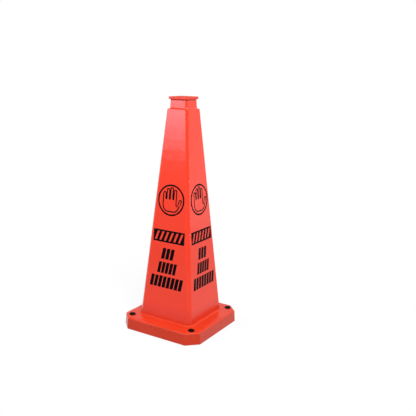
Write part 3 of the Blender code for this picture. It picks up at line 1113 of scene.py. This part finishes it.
@dataclass(frozen=True)
class ConeBody(Lofted):
    """The tapered hollow body, with its foot flange, shoulder and neck."""

    deck_level: float = 0.050
    foot_width: float = 0.242
    foot_corner_cut: float = 0.013
    shoulder_width: float = 0.0946
    shoulder_corner_cut: float = 0.008
    shoulder_edge: float = 0.0015
    neck_width: float = 0.078
    neck_draft: float = math.radians(3.0)
    neck_height: float = 0.036
    neck_corner_cut: float = 0.005
    neck_round: float = 0.003
    neck_root: float = 0.006
    lip_thickness: float = 0.009
    wall: float = 0.003
    corner_round: float = 0.005
    gap: float = 0.0003
    flange_round: float = 0.005
    flange_thickness: float = 0.003
    flange_corner_beyond_rivet: float = 0.0125
    corner_steps: int = 6

    @property
    def neck_top(self) -> float:
        """Level of the neck's open end."""
        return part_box("cone_body")[1].z

    @property
    def lip_underside(self) -> float:
        """Level of the underside of the cap's lip."""
        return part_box("neck_cap")[1].z - self.lip_thickness

    @property
    def shoulder_level(self) -> float:
        """Level of the flat ledge round the neck."""
        return self.lip_underside - self.neck_height

    @property
    def lean(self) -> float:
        """How far a wall leans in for each metre of height."""
        return (self.foot_width - self.shoulder_width) / 2 / (self.shoulder_level - self.deck_level)

    @property
    def wall_at_floor(self) -> float:
        """Half the body's width if its walls ran on down to the floor."""
        return self.foot_width / 2 + self.lean * self.deck_level

    @property
    def inner_round(self) -> float:
        """Radius of the corners inside the neck and the shoulder."""
        return self.neck_round - self.wall / 2

    def outside(self, level: float) -> Section:
        """The body's outline at a level.

        Args:
            level: the level.

        Returns:
            The outline.
        """
        share = (level - self.deck_level) / (self.shoulder_level - self.deck_level)
        foot = Section.cut_square(self.foot_width, self.foot_corner_cut, level, self.corner_round)
        top = Section.cut_square(self.shoulder_width, self.shoulder_corner_cut, level, self.neck_round)
        return foot.towards(top, share, 0.0)

    def neck(self, level: float) -> Section:
        """The drafted neck's outline at a level."""
        width = self.neck_width - 2 * (level - self.shoulder_level) * math.tan(self.neck_draft)
        return Section.cut_square(width, self.neck_corner_cut, level, self.neck_round)

    def sections(self) -> list[Section]:
        """The outlines round the whole shell, from the flange up the outside and down the inside.

        Returns:
            The outlines, closed on the first.
        """
        low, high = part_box("cone_body")
        rivet_low, rivet_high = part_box(PIN)
        rivet = (rivet_low + rivet_high) / 2
        flange_corner = math.hypot(rivet.x, rivet.y) + self.flange_corner_beyond_rivet
        flange = Section(high.x, flange_corner, low.z, self.flange_round)
        flange_top = low.z + self.flange_thickness
        ledge, ceiling = self.shoulder_level, self.shoulder_level - self.wall
        edge_side = self.outside(ledge - self.shoulder_edge)
        edge_top = self.outside(ledge).grown(-self.shoulder_edge)
        root_out = self.neck(ledge).grown(self.neck_root)
        root_up = self.neck(ledge + self.neck_root)
        bore = self.neck(self.neck_top).grown(-self.wall).rounded(self.inner_round)
        shell = [
            flange,
            flange.grown(0.0, flange_top),
            self.outside(flange_top),
            *reversed(edge_top.bend_to(edge_side, Bend.FULL)),
            *reversed(root_up.bend_to(root_out, Bend.HOLLOW)),
            self.neck(self.neck_top),
            bore,
            bore.grown(0.0, ceiling),
            self.outside(ceiling).grown(-self.wall).rounded(self.inner_round),
            self.outside(low.z).grown(-self.wall),
        ]
        return [*shell, shell[0]]

    def build(self, trees: Trees, finish: Material) -> None:
        """Lofts and dresses the body."""
        self.loft("body_shell", "cone_body", trees, finish)


@dataclass(frozen=True)
class NeckCap(Lofted):
    """The square cap: a lip over a hollow cove, and the plug below it."""

    body: ConeBody
    lip_edge: float = 0.0015
    under_edge: float = 0.0005
    seam: float = 0.00005
    top_wall: float = 0.003
    plug_wall: float = 0.0025
    bead_below_neck_top: float = 0.012
    bead_length: float = 0.004
    bead_height: float = 0.0008
    corner_steps: int = 6

    def sections(self) -> list[Section]:
        """The outlines from the middle of the top, round the lip, down the plug and up inside it.

        Returns:
            The outlines.
        """
        low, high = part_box("neck_cap")
        body = self.body
        lip = Section.cut_square(2 * high.x, body.neck_corner_cut, high.z, body.neck_round)
        underside, seat = body.lip_underside, body.neck_top + self.seam
        top_edge = lip.grown(-self.lip_edge).bend_to(lip.grown(0.0, high.z - self.lip_edge), Bend.FULL)
        low_edge = lip.grown(-self.under_edge, underside)
        side = lip.grown(0.0, underside + self.under_edge)
        cove_top = body.neck(underside).grown(underside - seat)
        plug = body.neck(seat).grown(-body.wall - body.gap).rounded(body.inner_round)
        bead = body.neck_top - self.bead_below_neck_top
        half = self.bead_length / 2
        inside = plug.grown(-self.plug_wall).rounded(body.gap)
        return [
            Section.centre(high.z),
            *top_edge,
            *reversed(low_edge.bend_to(side, Bend.FULL)),
            *reversed(body.neck(seat).bend_to(cove_top, Bend.HOLLOW)),
            plug,
            plug.grown(0.0, bead + half),
            plug.grown(self.bead_height, bead + half - self.bead_height),
            plug.grown(self.bead_height, bead - half + self.bead_height),
            plug.grown(0.0, bead - half),
            plug.grown(0.0, low.z),
            inside.grown(0.0, low.z),
            inside.grown(0.0, high.z - self.top_wall),
            Section.centre(high.z - self.top_wall),
        ]

    def build(self, trees: Trees, finish: Material) -> None:
        """Lofts and dresses the cap."""
        self.loft("lipped_cap", "neck_cap", trees, finish)


@dataclass(frozen=True)
class BaseMoulding(Lofted):
    """The square base: collar, deck, rounded rim, drafted skirt, and ribs inside."""

    body: ConeBody
    width_at_floor: float = 0.358
    corner_cut: float = 0.0425
    corner_round: float = 0.005
    draft: float = math.radians(3.0)
    deck_thickness: float = 0.0035
    wall: float = 0.0035
    foot_round: float = 0.0015
    foot_steps: int = 4
    rim_round: float = 0.006
    rim_steps: int = 8
    margin: float = 0.015
    corner_margin: float = 0.009
    margin_drop: float = 0.0012
    margin_steps: int = 5
    collar_height: float = 0.007
    collar_land: float = 0.0015
    collar_edge: float = 0.0005
    collar_steps: int = 3
    corner_steps: int = 8
    rib_thickness: float = 0.003
    rib_spacing: float = 0.150
    rib_root: float = 0.002
    nib_reach: float = 0.003
    nib_height: float = 0.0025

    def outside(self, level: float) -> Section:
        """The skirt's outline at a level."""
        floor_line = Section.cut_square(self.width_at_floor, self.corner_cut, level, self.corner_round)
        return floor_line.grown(-level * math.tan(self.draft))

    def rim(self, deck: float) -> list[Section]:
        """The outlines down the eased margin of the deck and round its rim.

        Args:
            deck: the level of the flat deck.

        Returns:
            The outlines, from the flat of the deck to the wall of the skirt.
        """
        start, end = math.atan2(2 * self.margin_drop, self.margin), QUARTER - self.draft
        low = deck - self.margin_drop - self.rim_round * (math.cos(start) - math.cos(end))
        wall = self.outside(low)
        turn = []
        for step in range(self.rim_steps + 1):
            tilt = start + (end - start) * step / self.rim_steps
            inset = self.rim_round * (math.sin(end) - math.sin(tilt))
            turn.append(wall.grown(-inset, low + self.rim_round * (math.cos(tilt) - math.cos(end))))
        edge = turn[0]
        eased = []
        for step in range(self.margin_steps):
            run = 1 - step / self.margin_steps
            flat, corner = edge.flat - self.margin * run, edge.corner - self.corner_margin * run
            level = deck - self.margin_drop * (1 - run) ** 2
            eased.append(replace(edge, flat=flat, corner=corner, level=level))
        return [*eased, *turn]

    def sections(self) -> list[Section]:
        """The outlines round the whole moulding, from the throat over the deck and down the skirt.

        Returns:
            The outlines, closed on the first.
        """
        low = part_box("base_skirt")[0].z
        deck = self.body.deck_level
        under = deck - self.deck_thickness
        throat = self.body.outside(deck + self.collar_height).grown(self.body.gap)
        land = throat.grown(self.collar_land)
        land_top = land.grown(-self.collar_edge)
        land_side = land.grown(0.0, land.level - self.collar_edge)
        foot_side = self.outside(low + self.foot_round)
        foot = foot_side.grown(-self.foot_round, low)
        inner_round = self.corner_round - self.wall
        ring = [
            throat,
            *land_top.bend_to(land_side, Bend.FULL, self.collar_steps),
            *land_side.bend_to(land.grown(self.collar_height, deck), Bend.HOLLOW)[1:],
            *self.rim(deck),
            *reversed(foot.bend_to(foot_side, Bend.FULL, self.foot_steps)),
            self.outside(low).grown(-self.wall).rounded(inner_round),
            self.outside(under).grown(-self.wall).rounded(inner_round),
            self.body.outside(under).grown(self.body.gap),
        ]
        return [*ring, ring[0]]

    def root(self, level: float) -> float:
        """How far out a rib runs into the skirt's wall at a level."""
        return self.outside(level).flat - self.wall + self.rib_root

    def rib_mesh(self) -> Mesh:
        """Makes one flat rib, with the nib that holds the ballast up.

        Returns:
            The new mesh.
        """
        low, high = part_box("ballast_ring")
        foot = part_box("base_skirt")[0].z + self.foot_round
        seat, nib_top = high.x + self.body.gap, low.z - self.body.gap
        tip = seat - self.nib_reach
        outline = [
            (self.root(foot), foot),
            (self.root(high.z), high.z),
            (seat, high.z),
            (seat, nib_top),
            (tip, nib_top),
            (tip, nib_top - self.nib_height),
            (seat, foot),
        ]
        points = [(out, 0.0, level) for out, level in outline]
        return new_mesh("rib", points, faces=[range(len(points))])

    def build(self, trees: Trees, finish: Material) -> None:
        """Lofts and dresses the base, and sets its ribs.

        Args:
            trees: the geometry trees.
            finish: the material of both.
        """
        self.loft("base_moulding", "base_skirt", trees, finish)
        values = {"Thickness": self.rib_thickness, "Spacing": self.rib_spacing, "Finish": finish}
        make_piece("skirt_ribs", self.rib_mesh(), trees.ribs, values, Slot.ORANGE)


@dataclass(frozen=True)
class PushRivets:
    """The four black push rivets that clamp the base to the body's flange.

    bevel_start and bevel_middle place the points of the head's soft edge, in parts of head_bevel.
    """

    body: ConeBody
    head_bevel: float = 0.0007
    bevel_start: float = 2.0
    bevel_middle: tuple[float, float] = (0.5, 0.3)
    crown: float = 0.0002
    recess_edge: float = 0.00025
    pin_gap: float = 0.0003
    shank_radius: float = 0.004
    catch: float = 0.0009
    bore_radius: float = 0.0021
    tip_radius: float = 0.003
    recess_depth: float = 0.0017
    steps: int = 64

    def profile(self, centre: Vector) -> Mesh:
        """Makes the sleeve's profile, from the pin's recess over the head and down the shank.

        Args:
            centre: the middle of the sleeve's box.

        Returns:
            A mesh with the profile's points, round its own axis.
        """
        low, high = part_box(SLEEVE)
        pin_low, pin_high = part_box(PIN)
        head = high.x - centre.x
        recess = (pin_high.x - pin_low.x) / 2 + self.pin_gap
        top = high.z - self.crown
        deck = self.body.deck_level + self.body.gap
        floor = high.z - self.recess_depth
        catch_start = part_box("cone_body")[0].z - self.body.gap
        caught = self.shank_radius + self.catch
        inset, drop = (share * self.head_bevel for share in self.bevel_middle)
        points = [
            (recess, floor),
            (recess, top - self.recess_edge),
            (recess + self.recess_edge, high.z - self.recess_edge / 2),
            ((recess + head) / 2, high.z),
            (head - self.bevel_start * self.head_bevel, top),
            (head - inset, top - drop),
            (head, top - self.head_bevel),
            (head, deck),
            (self.shank_radius, deck),
            (self.shank_radius, catch_start),
            (caught, catch_start - self.catch),
            (caught, catch_start - 2 * self.catch),
            (self.tip_radius, low.z),
            (self.bore_radius, low.z),
            (self.bore_radius, floor),
            (recess, floor),
        ]
        return new_mesh("rivet_profile", [(radius, 0.0, level) for radius, level in points])

    def build(self, trees: Trees, finish: Material) -> None:
        """Turns the sleeves and dresses the sleeves and pins.

        Args:
            trees: the geometry trees.
            finish: their material.
        """
        low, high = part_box(SLEEVE)
        centre = (low + high) / 2
        values = {"Steps": self.steps, "Place": (centre.x, centre.y, 0.0), "Finish": finish}
        sleeves = [f"rivet_sleeve_{corner}" for corner in CORNERS]
        for corner in CORNERS:
            dress_solid(f"rivet_pin_{corner}", finish)
        make_piece("rivet_sleeves", self.profile(centre), trees.turned, values, Slot.NYLON, *sleeves)


@dataclass(frozen=True)
class PalmFigure:
    """A plain raised palm in outline, drawn from finger sizes."""

    centre_level: float = 0.5266
    wrist_level: float = 0.4830
    knuckle_level: float = 0.533
    tips: tuple[float, ...] = (0.557, 0.570, 0.5755, 0.567)
    first_finger: float = -0.0300
    pitch: float = 0.0160
    finger_half: float = 0.0056
    heel_round: float = 0.024
    thumb_root: tuple[float, float] = (0.0330, 0.5030)
    thumb_tip: tuple[float, float] = (0.0425, 0.5260)
    thumb_half: float = 0.0050
    arc_steps: int = 10

    def arc(self, centre: Vector, radius: float, start: float, end: float) -> list[Vector]:
        """Points along an arc, with its angles in quarter turns."""
        angles = [start + (end - start) * step / self.arc_steps for step in range(self.arc_steps + 1)]
        return [centre + radius * Vector((math.cos(a * QUARTER), math.sin(a * QUARTER))) for a in angles]

    def outline(self) -> list[Vector]:
        """The closed outline, from the heel of the hand up over the fingers and down the thumb.

        Returns:
            The outline's points.
        """
        half, gap_half = self.finger_half, self.pitch / 2 - self.finger_half
        heel_level = self.wrist_level + self.heel_round
        left_heel = Vector((self.first_finger - half + self.heel_round, heel_level))
        points = self.arc(left_heel, self.heel_round, 3, 2)
        for number, tip in enumerate(self.tips):
            middle = self.first_finger + number * self.pitch
            points += self.arc(Vector((middle, tip - half)), half, 2, 0)
            if number < len(self.tips) - 1:
                points += self.arc(Vector((middle + self.pitch / 2, self.knuckle_level)), gap_half, -2, 0)
        root, tip = Vector(self.thumb_root), Vector(self.thumb_tip)
        along = (tip - root).normalized()
        side = Vector((-along.y, along.x))
        lean = math.atan2(along.y, along.x) / QUARTER
        right = self.first_finger + (len(self.tips) - 1) * self.pitch + half
        points.append(Vector((right, self.knuckle_level - self.heel_round)))
        points.append(root + side * self.thumb_half)
        points += self.arc(tip, self.thumb_half, lean + 1, lean - 1)
        points.append(root - side * self.thumb_half)
        right_heel = Vector((right - self.heel_round / 2, heel_level))
        return points + self.arc(right_heel, self.heel_round, 4, 3)


@dataclass(frozen=True)
class SlottedPanel:
    """A printed panel with slanted windows between two rails, or separate bars if it has no rails."""

    name: str
    low: float
    high: float
    width: float
    windows: int
    ink_share: float = 0.78
    slant: float = 0.18
    rail: float = 0.0

    def values(self) -> dict[str, Any]:
        """The tree's inputs for this panel, whose names follow its fields."""
        return {size.replace("_", " ").title(): value for size, value in asdict(self).items()}


@dataclass(frozen=True)
class FacePrint:
    """The dark marks on each face: a palm in a ring, a striped band and three rows of bars."""

    body: ConeBody
    palm: PalmFigure = PalmFigure()
    ring_radius: float = 0.0573
    ring_line: float = 0.0064
    palm_line: float = 0.0046
    ring_points: int = 128
    thickness: float = 0.00012
    clearance: float = 0.00004
    sharp_edge: float = math.radians(25.0)
    panels: tuple[SlottedPanel, ...] = (
        SlottedPanel(
            "striped_band",
            low=0.3612,
            high=0.4090,
            width=0.1432,
            windows=6,
            ink_share=0.58,
            slant=0.38,
            rail=0.0065,
        ),
        SlottedPanel("upper_bars", low=0.2945, high=0.3383, width=0.0550, windows=2),
        SlottedPanel("middle_bars", low=0.2383, high=0.2829, width=0.0836, windows=4),
        SlottedPanel("lower_bars", low=0.1814, high=0.2270, width=0.1480, windows=7),
    )

    def ring(self) -> list[Vector]:
        """The points of the ring's middle line.

        Returns:
            The points.
        """
        radius, middle = self.ring_radius, self.palm.centre_level
        angles = [math.tau * index / self.ring_points for index in range(self.ring_points)]
        return [Vector((radius * math.cos(a), middle + radius * math.sin(a))) for a in angles]

    def build(self, trees: Trees, finish: Material) -> None:
        """Prints every mark on the four faces.

        Args:
            trees: the geometry trees.
            finish: the ink.
        """
        shared = {
            "Thickness": self.thickness,
            "Wall At Floor": self.body.wall_at_floor,
            "Lean": self.body.lean,
            "Lift": self.clearance + self.thickness / 2,
            "Finish": finish,
        }
        ring, palm = closed_path("ring", self.ring()), closed_path("palm_outline", self.palm.outline())
        marks = [
            ("palm_ring", ring, trees.stroke, {"Line Width": self.ring_line}),
            ("palm_figure", palm, trees.stroke, {"Line Width": self.palm_line}),
        ]
        for panel in self.panels:
            marks.append((panel.name, bpy.data.meshes.new(panel.name), trees.panel, panel.values()))
        for name, source, tree, values in marks:
            make_piece(name, source, tree, {**values, **shared}, Slot.NYLON, sharp_edge=self.sharp_edge)


@dataclass(frozen=True)
class Viewpoint:
    """The photograph's camera, with its distances as shares of the cone's height."""

    height: float
    azimuth: float = math.radians(33.213)
    elevation: float = math.radians(13.537)
    distance_share: float = 2.6479
    aim_share: float = 0.4987
    roll: float = 0.01356
    focal_pixels: float = 613.26
    centre_pixel: tuple[float, float] = (182.10, 214.55)

    def build(self) -> None:
        """Sets the camera up and makes it the scene's."""
        flat, rise = math.cos(self.elevation), math.sin(self.elevation)
        back = Vector((math.sin(self.azimuth) * flat, -math.cos(self.azimuth) * flat, rise))
        right = Vector((math.cos(self.azimuth), math.sin(self.azimuth), 0.0))
        up = back.cross(right)
        aim = Vector((0.0, 0.0, self.aim_share * self.height))
        turned_right = math.cos(self.roll) * right + math.sin(self.roll) * up
        turned_up = math.cos(self.roll) * up - math.sin(self.roll) * right
        lens = bpy.data.cameras.new("camera")
        lens.sensor_fit = "HORIZONTAL"
        lens.sensor_width = SENSOR_WIDTH
        lens.lens = self.focal_pixels / PICTURE_SIDE * SENSOR_WIDTH
        lens.shift_x = (PICTURE_SIDE / 2 - self.centre_pixel[0]) / PICTURE_SIDE
        lens.shift_y = (self.centre_pixel[1] - PICTURE_SIDE / 2) / PICTURE_SIDE
        camera = linked("camera", lens)
        turn = Matrix((turned_right, turned_up, back)).transposed().to_4x4()
        camera.matrix_world = Matrix.Translation(aim + back * self.distance_share * self.height) @ turn
        bpy.context.scene.camera = camera


@dataclass(frozen=True)
class SoftBox:
    """A rectangular studio lamp aimed at a level on the cone's centre line.

    brightness is the radiance of its face, where 1 is a plain white; gleams says if gloss shows it.
    """

    name: str
    place: tuple[float, float, float]
    width: float
    height: float
    brightness: float
    aim_level: float = 0.40
    gleams: bool = True

    def build(self) -> None:
        """Hangs the lamp."""
        lamp = bpy.data.lights.new(self.name, "AREA")
        lamp.shape = "RECTANGLE"
        lamp.size, lamp.size_y = self.width, self.height
        lamp.energy = self.brightness * math.pi * self.width * self.height
        hung = linked(self.name, lamp)
        place = Vector(self.place)
        turn = (Vector((0.0, 0.0, self.aim_level)) - place).to_track_quat("-Z", "Y").to_matrix().to_4x4()
        hung.matrix_world = Matrix.Translation(place) @ turn
        hung.visible_glossy = self.gleams


def staged_quad(name: str, corners: Sequence[Vector], finish: Material) -> Object:
    """Adds a flat piece of the studio.

    Args:
        name: its name.
        corners: its four corners, in order.
        finish: its material.

    Returns:
        The new object.
    """
    mesh = new_mesh(name, corners, faces=[(0, 1, 2, 3)])
    mesh.materials.append(finish)
    made = linked(name, mesh)
    return made


def bare_tree(owner: Material | bpy.types.World) -> Tree:
    """Starts the nodes of a material or a world afresh.

    Args:
        owner: the material or the world.

    Returns:
        Its empty tree.
    """
    owner.use_nodes = True
    owner.node_tree.nodes.clear()
    return Tree(owner.node_tree)


def glow_material(
    name: str, fade: tuple[float, float], glow: tuple[float, float], tint: Colour = WHITE
) -> Material:
    """A glow that does not depend on the lamps and changes evenly between two levels.

    Args:
        name: the material's name.
        fade: the two levels.
        glow: its strength at each of them, where 1 is a plain white.
        tint: its colour.

    Returns:
        The new material.
    """
    made = bpy.data.materials.new(name)
    tree = bare_tree(made)
    level = tree.axes(tree.make("ShaderNodeTexCoord", output="Object"))[2]
    ends = {"From Min": fade[0], "From Max": fade[1], "To Min": glow[0], "To Max": glow[1]}
    strength = tree.make("ShaderNodeMapRange", {"Value": level, **ends})
    shine = tree.make("ShaderNodeEmission", {"Color": (*tint, 1.0), "Strength": strength})
    tree.node("ShaderNodeOutputMaterial", {"Surface": shine})
    return made


@dataclass(frozen=True)
class Card:
    """An upright glowing card that faces the cone, seen in reflections and not by the camera.

    azimuth is in degrees and 0 stands in front; glow runs from its first to its second value between the
    two levels of fade, where 1 is a plain white.
    """

    name: str
    azimuth: float
    reach: float
    width: float
    levels: tuple[float, float]
    fade: tuple[float, float]
    glow: tuple[float, float]
    tint: Colour = WHITE

    def build(self) -> None:
        """Stands the card up."""
        turn = math.radians(self.azimuth)
        out = Vector((math.sin(turn), -math.cos(turn), 0.0))
        aside = Vector((-out.y, out.x, 0.0)) * self.width / 2
        low, high = (out * self.reach + Vector((0.0, 0.0, level)) for level in self.levels)
        corners = [low - aside, low + aside, high + aside, high - aside]
        card = staged_quad(self.name, corners, glow_material(self.name, self.fade, self.glow, self.tint))
        card.visible_camera = False


@dataclass(frozen=True)
class Studio:
    """A plain white studio: a pale floor, a white surround, soft boxes and cards.

    The cards are what the two near faces and the corner between them reflect.
    """

    floor_half: float = 14.0
    floor_shade: float = 0.93
    floor_bounce: float = 0.14
    floor_gleam: float = 0.85
    veil: float = 0.82
    fade_from: float = 0.30
    fade_to: float = 1.1
    surround_fill: float = 0.34
    ceiling_level: float = 2.8
    ceiling_half: float = 2.6
    ceiling_glow: float = 0.25
    cards: tuple[Card, ...] = (
        Card(
            "side_box",
            azimuth=-33.0,
            reach=1.66,
            width=0.75,
            levels=(0.715, 1.70),
            fade=(0.715, 1.00),
            glow=(1.8, 5.7),
            tint=(0.82, 0.84, 1.0),
        ),
        Card(
            "under_box",
            azimuth=-33.0,
            reach=1.70,
            width=1.20,
            levels=(0.0, 0.715),
            fade=(0.60, 0.715),
            glow=(0.66, 1.05),
        ),
        Card(
            "corner_card",
            azimuth=60.0,
            reach=2.60,
            width=1.50,
            levels=(0.0, 1.70),
            fade=(0.0, 1.70),
            glow=(0.55, 0.55),
        ),
        Card(
            "right_card",
            azimuth=147.0,
            reach=2.60,
            width=1.60,
            levels=(0.0, 1.50),
            fade=(0.0, 0.80),
            glow=(1.18, 1.00),
        ),
    )
    lamps: tuple[SoftBox, ...] = (
        SoftBox("key", (1.30, -1.30, 2.15), width=1.1, height=1.1, brightness=15.0),
        SoftBox("edge", (1.77, 0.31, 0.84), width=0.25, height=1.3, brightness=5.5, aim_level=0.60),
        SoftBox("rear_right", (0.70, 2.63, 1.67), width=1.4, height=1.4, brightness=4.5, gleams=False),
        SoftBox("rear_left", (-2.71, -0.24, 1.67), width=1.4, height=1.4, brightness=4.5, gleams=False),
    )

    def seen_directly(self, tree: Tree) -> Wire:
        """A mask for what the camera sees, by itself or in gloss and glass.

        Args:
            tree: the tree that the mask is for.

        Returns:
            The mask.
        """
        ray = tree.node("ShaderNodeLightPath").outputs
        labels = ("Is Camera Ray", "Is Glossy Ray", "Is Transmission Ray")
        camera, gloss, glass = (Wire(tree, ray[label]) for label in labels)
        return tree.math("MAXIMUM", tree.math("MAXIMUM", camera, gloss), glass)

    def surround(self) -> None:
        """A world that is white to look at and lights the cone softly."""
        world = bpy.data.worlds.new("surround")
        tree = bare_tree(world)
        white = (*WHITE, 1.0)
        fill = tree.make("ShaderNodeBackground", {"Color": white, "Strength": self.surround_fill})
        plain = tree.make("ShaderNodeBackground", {"Color": white, "Strength": 1.0})
        mixed = tree.mix_shaders(self.seen_directly(tree), fill, plain)
        tree.node("ShaderNodeOutputWorld", {"Surface": mixed})
        bpy.context.scene.world = world

    def floor_material(self) -> Material:
        """A pale floor that keeps the cone's shadow and fades into the white surround.

        Returns:
            The new material.
        """
        made = bpy.data.materials.new("pale_floor")
        tree = bare_tree(made)
        shades = (self.floor_shade, self.floor_bounce)
        lit, bounce = (tree.make("ShaderNodeBsdfDiffuse", {"Color": (s, s, s, 1.0)}) for s in shades)
        in_gloss = tree.make("ShaderNodeLightPath", output="Is Glossy Ray")
        gleam = in_gloss * (self.floor_gleam - 1.0) + 1.0
        white = tree.make("ShaderNodeEmission", {"Color": (*WHITE, 1.0), "Strength": gleam})
        place = tree.make("ShaderNodeTexCoord", output="Object")
        reach = tree.make("ShaderNodeVectorMath", {0: place}, output="Value", operation="LENGTH")
        ends = {"From Min": self.fade_from, "From Max": self.fade_to, "To Min": self.veil, "To Max": 1.0}
        fade = tree.make("ShaderNodeMapRange", {"Value": reach, **ends}, interpolation_type="SMOOTHSTEP")
        shown = tree.mix_shaders(fade, lit, white)
        mixed = tree.mix_shaders(self.seen_directly(tree), bounce, shown)
        tree.node("ShaderNodeOutputMaterial", {"Surface": mixed})
        return made

    def level_quad(self, name: str, half: float, level: float, finish: Material) -> Object:
        """A level square round the centre line."""
        corners = [(-half, -half), (half, -half), (half, half), (-half, half)]
        return staged_quad(name, [Vector((x, y, level)) for x, y in corners], finish)

    def build(self) -> None:
        """Sets up the floor, the ceiling, the cards, the lamps and the picture's plain colours."""
        self.level_quad("floor", self.floor_half, 0.0, self.floor_material())
        dim = glow_material("dim_ceiling", (0.0, self.ceiling_level), (self.ceiling_glow, self.ceiling_glow))
        self.level_quad("ceiling", self.ceiling_half, self.ceiling_level, dim).visible_camera = False
        for card in self.cards:
            card.build()
        self.surround()
        for lamp in self.lamps:
            lamp.build()
        bpy.context.scene.view_settings.view_transform = "Standard"


def main() -> None:
    """Builds the cone's pieces in order, then the studio round them."""
    logging.basicConfig(level=logging.INFO, format="%(name)s: %(message)s")
    trees, finishes = Trees.grown(), Finishes.mixed()
    body = ConeBody()
    body.build(trees, finishes.body)
    NeckCap(body).build(trees, finishes.cap)
    BaseMoulding(body).build(trees, finishes.base)
    PushRivets(body).build(trees, finishes.nylon)
    FacePrint(body).build(trees, finishes.ink)
    for node in ("ballast_ring", *(f"rubber_foot_{corner}" for corner in CORNERS)):
        dress_solid(node, finishes.rubber)
    Studio().build()
    Viewpoint(CAD_BOX[1].z).build()


if __name__ == "__main__":
    main()
